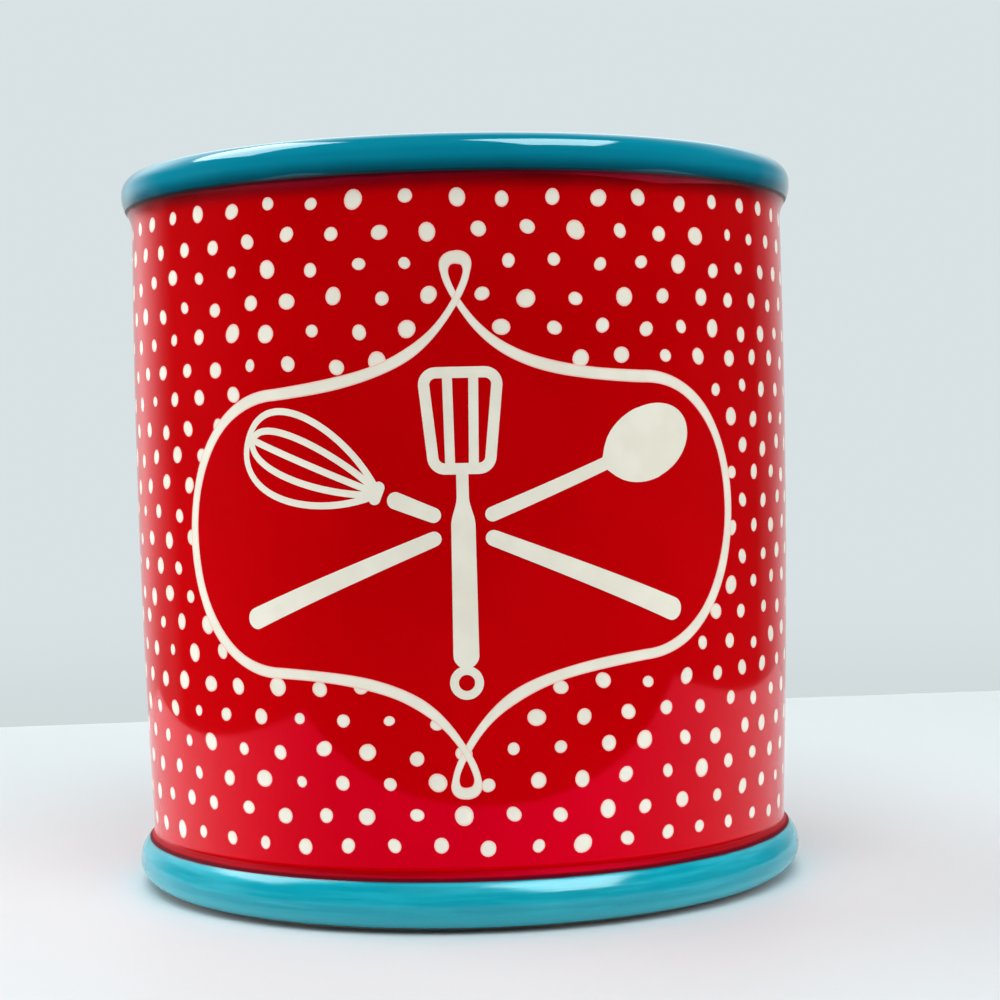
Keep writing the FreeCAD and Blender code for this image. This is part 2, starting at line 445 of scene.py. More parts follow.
def make_turquoise_glaze():
    finish, nodes = new_finish("turquoise_glaze")
    place = nodes.place()
    height = nodes.part_of(place, 2)
    cloud = nodes.noise(place, 60.0, detail=3.0)
    wander = (nodes.noise(place, 120.0) - 0.5) * (LINE_WANDER * MM)
    squeezed = nodes.add("ShaderNodeVectorMath", {"operation": "MULTIPLY"},
                         {0: place, 1: (1.0, 1.0, 16.0)})
    streaks = nodes.noise(squeezed, 45.0, detail=3.0)
    in_rim = nodes.band(height, RIM_FROM_FOOT)
    tone = nodes.blend(nodes.between(cloud, 0.3, 0.7), paint(4, 140, 158), paint(11, 147, 165))
    tone = nodes.blend(nodes.between(streaks, 0.42, 0.7) * 0.6, tone, paint(30, 165, 183))
    # Painted shade: the rim is a darker turquoise than the foot, which faces up to the light
    tone = nodes.blend(in_rim * 0.85, tone, paint(0, 122, 147))
    # Painted shade: the rim darkens towards its lower edge, which faces down
    rim_painted_shade = nodes.band(height + wander, RIM_PAINTED_SHADE) * in_rim
    tone = nodes.blend(rim_painted_shade * 0.85, tone, paint(0, 62, 80))
    # A dark line at the rim's glaze line, partly where the glazes overlap and partly painted shade in
    # the crease under the roll
    rim_line = nodes.band(height + wander * 0.5, RIM_LINE) * in_rim
    tone = nodes.blend(rim_line, tone, paint(4, 18, 24))
    # A dark line at the foot's glaze line, partly where the glazes overlap and partly painted shade in
    # the crease over the roll
    foot_line = nodes.band(height + wander * 0.5, FOOT_LINE) * (1 - in_rim)
    tone = nodes.blend(foot_line, tone, paint(6, 70, 84))
    # Painted reflection: the lower part of the foot roll is paler, as if mirroring the pale table
    tone = nodes.blend(nodes.band(height, FOOT_PAINTED_REFLECTION) * 0.7, tone, paint(44, 169, 184))
    # Painted shade: the underside of the foot roll, next to the table, is dark
    tone = nodes.blend(nodes.band(height, FOOT_PAINTED_SHADE), tone, paint(0, 46, 54))
    brushed = (1 - in_rim) * (0.07 + nodes.between(streaks, 0.3, 0.75) * 0.12)
    gloss = 0.045 + nodes.noise(place, 80.0, detail=3.0) * 0.03 + brushed + rim_line * 0.3
    ripples = nodes.noise(place, 70.0, detail=1.0) * 0.6 + streaks * (1.4 - in_rim)
    close_finish(nodes, {
        "Base Color": tone, "Roughness": gloss, "IOR": 1.5, "Specular Tint": (0.76, 0.96, 1.0, 1.0),
        "Normal": nodes.relief(ripples, 0.09, GLAZE_RELIEF),
    })
    return finish


def make_white_enamel(name, full=None, in_dots=False):
    """White enamel, even all over or thinner towards its edges, where some red shows through.

    Thinner enamel is full over a given share of the way from the middle to the edge. The print's own
    coordinates run from 0 to 1 across a line, and over a dot from side to side.
    """
    finish, nodes = new_finish(name)
    place = nodes.place()
    cloud = nodes.noise(place, 130.0, detail=2.0)
    tone = nodes.blend(nodes.between(cloud, 0.3, 0.7), paint(230, 226, 210), paint(236, 233, 218))
    if full:
        sheet = nodes.add("ShaderNodeTexCoord", output="UV")
        aside = nodes.part_of(sheet, 0) - 0.5
        upward = nodes.part_of(sheet, 1) - 0.5
        from_middle = upward * upward + aside * aside if in_dots else upward * upward
        at_edge = nodes.between(from_middle, (full / 2) ** 2, ENAMEL_EDGE)
        tone = nodes.blend(at_edge * 0.7, tone, paint(250, 168, 162))
    gloss = 0.06 + nodes.noise(place, 60.0, detail=3.0) * 0.03
    close_finish(nodes, {
        "Base Color": tone, "Roughness": gloss, "IOR": 1.55,
        "Normal": soft_waves(nodes, place, 45.0, 0.05),
    })
    return finish


def make_white_glaze():
    finish, nodes = new_finish("white_glaze")
    place = nodes.place()
    cloud = nodes.noise(place, 35.0, detail=3.0)
    specks = nodes.noise(place, 1400.0, detail=1.0)
    tone = nodes.blend(nodes.between(cloud, 0.3, 0.7), paint(233, 229, 218), paint(240, 237, 228))
    tone = nodes.blend(nodes.between(specks, 0.74, 0.8) * 0.5, tone, paint(150, 128, 100))
    gloss = 0.07 + nodes.noise(place, 60.0, detail=3.0) * 0.05
    close_finish(nodes, {
        "Base Color": tone, "Roughness": gloss, "IOR": 1.52,
        "Normal": soft_waves(nodes, place, 60.0, 0.1),
    })
    return finish


def make_bare_clay():
    finish, nodes = new_finish("bare_clay")
    place = nodes.place()
    grain = nodes.noise(place, 1800.0, detail=4.0, roughness=0.7)
    cloud = nodes.noise(place, 70.0, detail=3.0)
    tone = nodes.blend(nodes.between(cloud, 0.3, 0.7), paint(205, 190, 168), paint(222, 210, 191))
    tone = nodes.blend(nodes.between(grain, 0.55, 0.75) * 0.5, tone, paint(168, 148, 122))
    height = nodes.part_of(place, 2)
    from_middle = nodes.add("ShaderNodeVectorMath", {"operation": "LENGTH"}, {0: place}, output="Value")
    # Painted shade: the outer edge of the bare foot ring, deep under the roll, is dark
    ring_painted_shade = nodes.band(from_middle, RING_EDGE) * nodes.band(height, RING_EDGE_HEIGHT)
    tone = nodes.blend(ring_painted_shade, tone, paint(52, 44, 38))
    close_finish(nodes, {
        "Base Color": tone, "Roughness": 0.78 + grain * 0.15,
        "Normal": nodes.relief(grain, 0.35, CLAY_RELIEF),
    })
    return finish


RED_GLAZE = make_red_glaze()
TURQUOISE_GLAZE = make_turquoise_glaze()
LINE_ENAMEL = make_white_enamel("line_enamel", 0.6)
TOOL_ENAMEL = make_white_enamel("tool_enamel")
DOT_ENAMEL = make_white_enamel("dot_enamel", 0.66, in_dots=True)
WHITE_GLAZE = make_white_glaze()
BARE_CLAY = make_bare_clay()


# The coats, turned ring by ring

def faces_right(coat, section):
    """Whether a turned skin faces the right-hand side of the way its section is drawn."""
    (radius, height), (next_radius, next_height) = section[:2]
    middle = Vector(((radius + next_radius) / 2 * MM, (height + next_height) / 2 * MM))

    def from_middle(face):
        return (Vector((face.center.xy.length, face.center.z)) - middle).length

    face = min(coat.data.polygons, key=from_middle)
    outward = face.normal.xy.dot(face.center.xy.normalized())
    return outward * (next_height - height) + face.normal.z * (radius - next_radius) > 0


def turned_coat(name, section, air_right, closed=False):
    """A skin of glaze: a ring that is extruded and scaled along the half section.

    The air lies on the right or the left of the way the section is drawn.
    """
    clear_selection()
    radius, height = section[0]
    bpy.ops.mesh.primitive_circle_add(vertices=TURN_STEPS, radius=radius * MM,
                                      location=(0, 0, height * MM))
    coat = settle(name)
    bpy.ops.object.mode_set(mode="EDIT")
    bpy.ops.mesh.select_all(action="SELECT")
    for next_radius, next_height in section[1:]:
        rise = (next_height - height) * MM
        share = next_radius / radius
        bpy.ops.mesh.extrude_region_move(TRANSFORM_OT_translate={"value": (0, 0, rise)})
        bpy.ops.transform.resize(value=(share, share, 1), center_override=(0, 0, next_height * MM))
        radius, height = next_radius, next_height
    if closed:
        bpy.ops.mesh.extrude_region_move(TRANSFORM_OT_translate={"value": (0, 0, 0)})
        bpy.ops.mesh.merge(type="CENTER")
    bpy.ops.mesh.select_all(action="SELECT")
    bpy.ops.mesh.normals_make_consistent(inside=False)
    bpy.ops.object.mode_set(mode="OBJECT")
    if faces_right(coat, section) != air_right:
        bpy.ops.object.mode_set(mode="EDIT")
        bpy.ops.mesh.flip_normals()
        bpy.ops.object.mode_set(mode="OBJECT")
    apply_modifier(coat, "SOLIDIFY", thickness=GLAZE * MM, offset=-1)
    bpy.ops.object.shade_smooth_by_angle(angle=math.radians(SHARP_EDGE))
    return coat


def finish_piece(piece, finish, node=None):
    """Gives a piece its finish and its place on the part, and hides the CAD node that it stands in for.
    """
    piece.data.materials.clear()
    piece.data.materials.append(finish)
    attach(piece, "root")
    if node:
        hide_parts(node)


rim_coat = turned_coat("rim_coat", RIM_SECTION, air_right=True)
finish_piece(rim_coat, TURQUOISE_GLAZE, "rim_glaze")
wall_coat = turned_coat("wall_coat", WALL_SECTION, air_right=False)
finish_piece(wall_coat, RED_GLAZE, "wall_glaze")
foot_coat = turned_coat("foot_coat", FOOT_SECTION, air_right=False)
finish_piece(foot_coat, TURQUOISE_GLAZE, "foot_glaze")
liner_coat = turned_coat("liner_coat", LINER_SECTION, air_right=True, closed=True)
finish_piece(liner_coat, WHITE_GLAZE, "liner_glaze")
underside_coat = turned_coat("underside_coat", UNDERSIDE_SECTION, air_right=False, closed=True)
finish_piece(underside_coat, WHITE_GLAZE, "underside_glaze")

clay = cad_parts["stoneware_body"]
clay.data.materials.clear()
clay.data.materials.append(BARE_CLAY)


# The print, drawn flat in front of the crock and then wrapped onto its wall

def wrap_on_wall(piece, lift):
    """Bends a flat print round the crock, lays it on the wall and gives it the enamel's thickness."""
    across = [vertex.co.x for vertex in piece.data.vertices]
    width = max(across) - min(across)
    apply_modifier(piece, "SIMPLE_DEFORM", deform_method="BEND", deform_axis="Z",
                   angle=width / (PRINT_RADIUS * MM))
    bpy.ops.transform.translate(value=(0, -PRINT_RADIUS * MM, PRINT_MIDDLE * MM))
    bpy.ops.object.transform_apply(location=True, rotation=True, scale=True)
    apply_modifier(piece, "SHRINKWRAP", target=wall_coat, wrap_method="NEAREST_SURFACEPOINT",
                   wrap_mode="ABOVE_SURFACE", offset=lift * MM)
    apply_modifier(piece, "SOLIDIFY", thickness=ENAMEL * MM, offset=-1)
    # The print lies under the same gloss as the wall, so it takes the wall's shading
    apply_modifier(piece, "DATA_TRANSFER", object=wall_coat, use_loop_data=True,
                   data_types_loops={"CUSTOM_NORMAL"}, loop_mapping="POLYINTERP_NEAREST")


def cut_upright(piece):
    """Upright cuts at an even spacing, so that wide faces can follow the round wall."""
    reach = max(abs(vertex.co.x) for vertex in piece.data.vertices)
    make_active(piece)
    bpy.ops.object.mode_set(mode="EDIT")
    count = int(reach / (CUT_SPACING * MM))
    for number in range(-count, count + 1):
        bpy.ops.mesh.select_all(action="SELECT")
        bpy.ops.mesh.bisect(plane_co=(number * CUT_SPACING * MM, 0, 0), plane_no=(1, 0, 0))
    bpy.ops.object.mode_set(mode="OBJECT")


def flat_point(place):
    """A place on the print, (across, up), as a point of the flat sheet."""
    return Vector((place[0] * MM, -PRINT_STANDOFF * MM, place[1] * MM))


def pen_line(name, path, widths, ends=None):
    """A line drawn with a pen: a plane on the first step of a path, extruded from there along it.

    The headings at its two ends follow the path, or are given in degrees.
    """
    headings = []
    for number in range(len(path)):
        before = path[max(number - 1, 0)]
        after = path[min(number + 1, len(path) - 1)]
        headings.append(math.atan2(after[1] - before[1], after[0] - before[0]))
    if ends:
        headings[0] = math.radians(ends[0])
        headings[-1] = math.radians(ends[1])
    first_length = math.dist(path[0], path[1])
    start_heading = math.atan2(path[1][1] - path[0][1], path[1][0] - path[0][0])
    middle = ((path[0][0] + path[1][0]) / 2, (path[0][1] + path[1][1]) / 2)
    clear_selection()
    bpy.ops.mesh.primitive_plane_add(size=MM, location=flat_point(middle),
                                     rotation=(math.pi / 2, -start_heading, 0))
    bpy.context.object.scale = (first_length, widths[0], 1)
    line = settle(name)
    bpy.ops.object.mode_set(mode="EDIT")
    tip = flat_point(path[1])
    tail = flat_point(path[0])
    select_part(line, lambda place: (place - tail).length < (place - tip).length)
    bpy.ops.transform.rotate(value=headings[0] - start_heading, orient_axis="Y", center_override=tail)
    select_part(line, lambda place: (place - tip).length < (place - tail).length)
    heading = start_heading
    width = widths[0]
    for number in range(1, len(path)):
        point = flat_point(path[number])
        if number > 1:
            step = point - flat_point(path[number - 1])
            bpy.ops.mesh.extrude_edges_move(TRANSFORM_OT_translate={"value": step})
        turn = (headings[number] - heading + math.pi) % (2 * math.pi) - math.pi
        bpy.ops.transform.rotate(value=turn, orient_axis="Y", center_override=point)
        share = widths[number] / width
        bpy.ops.transform.resize(value=(share, share, share), center_override=point)
        heading = headings[number]
        width = widths[number]
    bpy.ops.object.mode_set(mode="OBJECT")
    return line


# The frame: a line with a small loop at its top and bottom, in two mirrored halves
FRAME_HALF_WIDTH = 68.0
FRAME_SHIFT = -0.5
FRAME_LEAN = 0.028
FRAME_SHOULDER = (42.0, 30.5)
FRAME_CROSSING = (0.0, 48.7)
CROSSING_SLOPE = 60.0
CROSSING_HANDLE = 15.0
SHOULDER_SLOPE = 3.5
SHOULDER_HANDLE = 24.0
LOOP_TIP = (0.0, 57.6)
LOOP_TIP_HANDLE = 3.7
LOOP_CROSSING_HANDLE = 5.5
LINE_AT_CROSSING = 1.55
LINE_AT_TIP = 2.7
LINE_OF_FRAME = 2.55
LOOP_SWELL = 54.0
ARM_SWELL = 12.0
LOOP_STEPS = 22
ARM_STEPS = 40
FRAME_CORNER_STEPS = 40

# The unsteady hand: shares of the line's width, and how fast they change from step to step
SLOW_WAVER = 0.06
SLOW_WAVER_SPEED = 0.11
QUICK_WAVER = 0.03
QUICK_WAVER_SPEED = 0.37
RIGHT_SEED = 3
LEFT_SEED = 4


def bezier(first, first_handle, second_handle, second, steps):
    """Points along a curve between two places, each with its handle."""
    points = []
    for step in range(steps + 1):
        share = step / steps
        rest = 1 - share
        points.append(tuple(
            rest ** 3 * a + 3 * rest ** 2 * share * b + 3 * rest * share ** 2 * c + share ** 3 * d
            for a, b, c, d in zip(first, first_handle, second_handle, second)))
    return points


def step_along(start, slope, distance):
    """A place at a distance from another, along a slope in degrees."""
    turn = math.radians(slope)
    return (start[0] + distance * math.cos(turn), start[1] + distance * math.sin(turn))


def frame_quarter():
    """The frame's line from its top, round the loop and along the arm to its right side."""
    loop = bezier(
        LOOP_TIP, step_along(LOOP_TIP, 180, LOOP_TIP_HANDLE),
        step_along(FRAME_CROSSING, 180 - CROSSING_SLOPE, LOOP_CROSSING_HANDLE), FRAME_CROSSING,
        LOOP_STEPS)
    arm = bezier(
        FRAME_CROSSING, step_along(FRAME_CROSSING, -CROSSING_SLOPE, CROSSING_HANDLE),
        step_along(FRAME_SHOULDER, 180 - SHOULDER_SLOPE, SHOULDER_HANDLE), FRAME_SHOULDER, ARM_STEPS)
    shoulder_across, shoulder_up = FRAME_SHOULDER
    corner = []
    for step in range(FRAME_CORNER_STEPS + 1):
        angle = math.radians(90 - 90 * step / FRAME_CORNER_STEPS)
        corner.append((shoulder_across + (FRAME_HALF_WIDTH - shoulder_across) * math.cos(angle),
                       shoulder_up * math.sin(angle)))
    return loop + arm[1:] + corner[1:]


quarter = frame_quarter()
FRAME_HALF = quarter + [(across, -up) for across, up in reversed(quarter[:-1])]


def ease(share):
    """A soft rise from 0 to 1."""
    share = min(1.0, max(0.0, share))
    return share * share * (3 - 2 * share)


def frame_width(across, up):
    """The frame's line is thin where it crosses itself and full elsewhere."""
    if abs(up) > FRAME_CROSSING[1]:
        swell = ease((abs(up) - LOOP_SWELL) / (LOOP_TIP[1] - LOOP_SWELL))
        return LINE_AT_CROSSING + (LINE_AT_TIP - LINE_AT_CROSSING) * swell
    swell = ease(abs(across) / ARM_SWELL)
    return LINE_AT_CROSSING + (LINE_OF_FRAME - LINE_AT_CROSSING) * swell


def on_frame(across, up):
    """A place of the even frame on the real one, which leans a little."""
    return (across + FRAME_SHIFT, up + FRAME_LEAN * across)


def frame_line(name, side, ends, seed):
    """One half of the frame, with the unsteady width of a line drawn by hand."""
    draw = random.Random(seed)
    slow = draw.uniform(0, 2 * math.pi)
    quick = draw.uniform(0, 2 * math.pi)
    widths = []
    for step, (across, up) in enumerate(FRAME_HALF):
        unsteady = 1 + SLOW_WAVER * math.sin(slow + SLOW_WAVER_SPEED * step)
        unsteady += QUICK_WAVER * math.sin(quick + QUICK_WAVER_SPEED * step)
        widths.append(frame_width(across, up) * unsteady)
    return pen_line(name, [on_frame(side * across, up) for across, up in FRAME_HALF], widths, ends)


FRAME_OUTLINE = [on_frame(across, up) for across, up in FRAME_HALF]
FRAME_OUTLINE += [on_frame(-across, up) for across, up in reversed(FRAME_HALF)]


def inside_frame(across, up):
    """Whether a place lies within the frame's line."""
    inside = False
    for (a0, b0), (a1, b1) in zip(FRAME_OUTLINE, FRAME_OUTLINE[1:] + FRAME_OUTLINE[:1]):
        if (b0 > up) != (b1 > up) and across < a0 + (a1 - a0) * (up - b0) / (b1 - b0):
            inside = not inside
    return inside


def print_piece(name, lines, finish):
    """Wraps the lines of one print onto the wall, each a little over the last, and joins them."""
    for number, line in enumerate(lines):
        cut_upright(line)
        wrap_on_wall(line, ENAMEL_LIFT + LIFT_STEP * number)
    finish_piece(join_pieces(lines, name), finish)


print_piece("frame_line", [
    frame_line("frame_right", 1, (180, 0), RIGHT_SEED),
    frame_line("frame_left", -1, (0, 180), LEFT_SEED),
], LINE_ENAMEL)

# The motif in the frame: a slotted turner, and a spoon and a whisk that cross behind its handle.
# The turner stands upright in the middle, and the others' places are told along their own axes
CROSS_TILT = 22.0
HANDLE_GAP = 5.2
TOOL_END = 55.0
THINNEST_STROKE = 0.12
STROKE_STEPS = 40
LONG_STROKE_STEPS = 60

# The spoon: its bowl, and the widths of its shaft and handle
SPOON_BOWL = 46.0
SPOON_BOWL_LENGTH = 11.5
SPOON_BOWL_WIDTH = 8.0
SPOON_SHAFT = 3.2
SPOON_THROAT = 2.6
SPOON_HANDLE_END = 4.8

# The whisk: its wires, with each loop's offset at the neck, spread and tip, and the widths of its handle
WHISK_NECK = 21.0
WHISK_WIRE = 1.5
WHISK_LOOPS = ((1.3, 11.4, 53.5), (0.8, 5.4, 52.2))
WHISK_LOOP_STEPS = 30
WHISK_ROOT_HANDLE = 12.0
WHISK_TIP_FLARE = 1.15
WHISK_MIDDLE_TIP = 51.6
WHISK_FERRULE = 2.6
WHISK_FERRULE_SEAT = 1.0
WHISK_NECK_GAP = 3.6
WHISK_SHAFT = 3.2
WHISK_NECK_END = 3.8
WHISK_GRIP = 3.4
WHISK_HANDLE_END = 5.2

# The turner: its blade with two bars, its handle, which narrows to a shaft, and the ring to hang it by
BLADE_FOOT = 12.4
BLADE_TOP = 33.0
BLADE_HALF_FOOT = 6.2
BLADE_HALF_TOP = 7.8
BLADE_CORNER = 2.6
BLADE_CORNER_STEPS = 8
BLADE_LINE = 2.4
BLADE_BAR = 2.1
BLADE_BAR_FOOT = 2.5
BLADE_BAR_TOP = 2.8
TURNER_HANDLE_END = -30.5
TURNER_HANDLE_LENGTH = 43.0
TURNER_HANDLE_END_WIDTH = 5.6
TURNER_HANDLE_WIDTH = 5.0
TURNER_SHAFT = 2.6
TURNER_SHAFT_START = 0.72
TURNER_SHAFT_TAPER = 0.14
TURNER_RING_HEIGHT = -33.6
TURNER_RING_RADIUS = 2.7
TURNER_RING_LINE = 1.9
TURNER_RING_STEPS = 32


def stroke(name, start, end, width_at, steps=STROKE_STEPS):
    """A straight brush stroke, whose width follows a formula along its way from 0 to 1."""
    path = []
    widths = []
    for step in range(steps + 1):
        share = (1 - math.cos(math.pi * step / steps)) / 2
        path.append((start[0] + (end[0] - start[0]) * share, start[1] + (end[1] - start[1]) * share))
        widths.append(max(width_at(share), THINNEST_STROKE))
    return pen_line(name, path, widths)


def rounded_bar(length, start_width, end_width):
    """The width of a bar with round ends along its way from 0 to 1."""
    def width_at(share):
        width = start_width + (end_width - start_width) * share
        cap = width / 2
        short = max(0, cap - min(share, 1 - share) * length)
        return 2 * math.sqrt(max(0, cap ** 2 - short ** 2))
    return width_at


def bar(name, start, end, start_width, end_width):
    """A straight stroke with round ends."""
    return stroke(name, start, end, rounded_bar(math.dist(start, end), start_width, end_width))


def on_axis(tilt):
    """Turns places along and beside a tool's axis into places on the print."""
    turn = math.radians(tilt)

    def place(along, beside=0.0):
        return (along * math.cos(turn) - beside * math.sin(turn),
                along * math.sin(turn) + beside * math.cos(turn))
    return place


def closed_line(name, path, width):
    """A pen line that starts level and runs back into its own start."""
    line = pen_line(name, path, [width] * len(path), (0, 0))
    bpy.ops.object.mode_set(mode="EDIT")
    bpy.ops.mesh.select_all(action="SELECT")
    bpy.ops.mesh.remove_doubles(threshold=MERGE_DISTANCE * MM)
    bpy.ops.object.mode_set(mode="OBJECT")
    return line


def make_spoon():
    place = on_axis(CROSS_TILT)
    length = SPOON_BOWL + SPOON_BOWL_LENGTH - HANDLE_GAP

    def width_at(share):
        along = HANDLE_GAP + length * share
        across = (along - SPOON_BOWL) / SPOON_BOWL_LENGTH
        bowl = 2 * SPOON_BOWL_WIDTH * math.sqrt(max(0, 1 - across ** 2))
        shaft = rounded_bar(length, SPOON_SHAFT, SPOON_THROAT)(share)
        return math.hypot(bowl, shaft) if along < SPOON_BOWL else bowl

    return [
        stroke("spoon_bowl", place(HANDLE_GAP), place(HANDLE_GAP + length), width_at,
               LONG_STROKE_STEPS),
        bar("spoon_handle", place(-HANDLE_GAP), place(-TOOL_END), SPOON_SHAFT, SPOON_HANDLE_END),
    ]


def make_whisk():
    place = on_axis(180 - CROSS_TILT)
    wires = []
    for number, (root, spread, tip) in enumerate(WHISK_LOOPS):
        side = bezier((WHISK_NECK, root), (WHISK_NECK + WHISK_ROOT_HANDLE, spread),
                      (tip, spread * WHISK_TIP_FLARE), (tip, 0), WHISK_LOOP_STEPS)
        path = side + [(along, -beside) for along, beside in reversed(side[:-1])]
        wires.append(pen_line(f"whisk_wire_{number}", [place(*point) for point in path],
                              [WHISK_WIRE] * len(path)))
    seat = WHISK_NECK - WHISK_FERRULE_SEAT
    return wires + [
        bar("whisk_middle_wire", place(WHISK_NECK), place(WHISK_MIDDLE_TIP), WHISK_WIRE, WHISK_WIRE),
        bar("whisk_ferrule", place(seat, -WHISK_FERRULE), place(seat, WHISK_FERRULE),
            WHISK_FERRULE, WHISK_FERRULE),
        bar("whisk_neck", place(HANDLE_GAP), place(WHISK_NECK - WHISK_NECK_GAP),
            WHISK_SHAFT, WHISK_NECK_END),
        bar("whisk_handle", place(-HANDLE_GAP), place(-TOOL_END), WHISK_GRIP, WHISK_HANDLE_END),
    ]


def make_turner():
    outline = [(0.0, BLADE_FOOT)]
    corners = (
        (BLADE_HALF_FOOT, BLADE_FOOT), (BLADE_HALF_TOP, BLADE_TOP),
        (-BLADE_HALF_TOP, BLADE_TOP), (-BLADE_HALF_FOOT, BLADE_FOOT),
    )
    for number, (across, up) in enumerate(corners):
        inward = BLADE_CORNER if up == BLADE_FOOT else -BLADE_CORNER
        middle = (across - math.copysign(BLADE_CORNER, across), up + inward)
        outline += arc(middle, BLADE_CORNER, 90 * number - 90, 90 * number, BLADE_CORNER_STEPS)
    outline.append(outline[0])
    ring = arc((0, TURNER_RING_HEIGHT), TURNER_RING_RADIUS, -90, 270, TURNER_RING_STEPS)
    handle = rounded_bar(TURNER_HANDLE_LENGTH, TURNER_HANDLE_END_WIDTH, TURNER_HANDLE_WIDTH)

    def handle_width(share):
        taper = ease((share - TURNER_SHAFT_START) / TURNER_SHAFT_TAPER)
        return handle(share) + (TURNER_SHAFT - handle(share)) * taper

    def blade_bar(name, side):
        return bar(name, (side * BLADE_BAR_FOOT, BLADE_FOOT), (side * BLADE_BAR_TOP, BLADE_TOP),
                   BLADE_BAR, BLADE_BAR)

    return [
        closed_line("turner_blade", outline, BLADE_LINE),
        blade_bar("turner_bar_left", -1),
        blade_bar("turner_bar_right", 1),
        stroke("turner_handle", (0, TURNER_HANDLE_END), (0, BLADE_FOOT), handle_width,
               LONG_STROKE_STEPS),
        closed_line("turner_ring", ring, TURNER_RING_LINE),
    ]


print_piece("turner_print", make_turner(), TOOL_ENAMEL)
print_piece("spoon_print", make_spoon(), TOOL_ENAMEL)
print_piece("whisk_print", make_whisk(), TOOL_ENAMEL)

# The dots: a staggered lattice drawn by hand
DOTS_ROUND = 47
DOT_ROWS = 22
DOT_TOP_ROW = 158.45
DOT_BOTTOM_ROW = 18.4
DOT_PHASE = -0.33
DOT_LEAN = -0.6
DOT_DRIFT = 1.4
DOT_JITTER = 0.42
DOT_MEAN = 1.66
DOT_SPREAD = 0.21
DOT_SMALLEST = 1.15
DOT_LARGEST = 2.1
DOT_SEED = 21

# The dots' few shapes: how far they are stretched, and pulled out past a line, as shares of the radius
DOT_SHAPES = 9
DOT_SIDES = 16
DOT_STRETCH = 0.08
DOT_PULLS = ((0.3, 0.04), (0.7, 0.05))


def dot_shape(draw):
    """One dot as a brush leaves it: a disc, stretched a little and pulled out to one side."""
    clear_selection()
    bpy.ops.mesh.primitive_circle_add(vertices=DOT_SIDES, radius=MM, fill_type="TRIFAN", calc_uvs=True,
                                      rotation=(math.pi / 2, 0, 0))
    dot = settle("dot")
    stretch = draw.uniform(-DOT_STRETCH, DOT_STRETCH)
    turn = draw.uniform(0, 2 * math.pi)
    pull = Vector((math.cos(turn), 0, math.sin(turn)))
    bpy.ops.object.mode_set(mode="EDIT")
    bpy.ops.mesh.select_all(action="SELECT")
    bpy.ops.transform.resize(value=(1 + stretch, 1, 1 - stretch), center_override=(0, 0, 0))
    for reach, share in DOT_PULLS:
        select_part(dot, lambda place: place.dot(pull) > reach * MM)
        bpy.ops.transform.translate(value=pull * share * MM)
    bpy.ops.object.mode_set(mode="OBJECT")
    return dot


def make_dots():
    draw = random.Random(DOT_SEED)
    shapes = [dot_shape(draw) for number in range(DOT_SHAPES)]
    dots = []
    pitch = 360 / DOTS_ROUND
    for row in range(DOT_ROWS):
        share = row / (DOT_ROWS - 1)
        level = DOT_TOP_ROW + (DOT_BOTTOM_ROW - DOT_TOP_ROW) * share
        level -= DOT_DRIFT * math.sin(2 * math.pi * share)
        start = DOT_PHASE + DOT_LEAN * share + (pitch / 2 if row % 2 else 0)
        for number in range(DOTS_ROUND):
            azimuth = (start + pitch * number + 180) % 360 - 180
            across = math.radians(azimuth) * PRINT_RADIUS + draw.gauss(0, DOT_JITTER)
            up = level - PRINT_MIDDLE + draw.gauss(0, DOT_JITTER)
            radius = max(DOT_SMALLEST, min(DOT_LARGEST, draw.gauss(DOT_MEAN, DOT_SPREAD)))
            shape = draw.choice(shapes)
            turn = draw.uniform(0, 2 * math.pi)
            if inside_frame(across, up):
                continue
            dot = shape.copy()
            dot.data = shape.data.copy()
            dot.location = flat_point((across, up))
            dot.rotation_euler = (0, turn, 0)
            dot.scale = (radius, 1, radius)
            bpy.context.scene.collection.objects.link(dot)
            dots.append(dot)
    for shape in shapes:
        bpy.data.objects.remove(shape)
    return join_pieces(dots, "polka_dots")


polka_dots = make_dots()
wrap_on_wall(polka_dots, ENAMEL_LIFT - LIFT_STEP)
finish_piece(polka_dots, DOT_ENAMEL)


# The table, the light and the camera, in metres and degrees

TABLE_TURN = 6.0
TABLE_FRONT = -0.195
TABLE_BACK = 0.33
TABLE_LEFT = -0.305
TABLE_RIGHT = 0.385
TABLE_COLOUR = (0.605, 0.66, 0.68, 1.0)
TABLE_ROUGHNESS = 0.6


def make_table():
    clear_selection()
    bpy.ops.mesh.primitive_plane_add(size=1)
    bpy.context.object.scale = (TABLE_RIGHT - TABLE_LEFT, TABLE_BACK - TABLE_FRONT, 1)
    bpy.context.object.location = ((TABLE_LEFT + TABLE_RIGHT) / 2, (TABLE_FRONT + TABLE_BACK) / 2, 0)
    table = settle("table")
    bpy.ops.object.mode_set(mode="EDIT")
    bpy.ops.mesh.select_all(action="SELECT")
    bpy.ops.transform.rotate(value=-math.radians(TABLE_TURN), orient_axis="Z",
                             center_override=(0, 0, 0))
    bpy.ops.object.mode_set(mode="OBJECT")
    finish, nodes = new_finish("pale_table")
    close_finish(nodes, {"Base Color": TABLE_COLOUR, "Roughness": TABLE_ROUGHNESS})
    table.data.materials.append(finish)


make_table()

LAMP_DISTANCE = 2.0
LAMP_AIM = Vector((0, 0, 0.1))


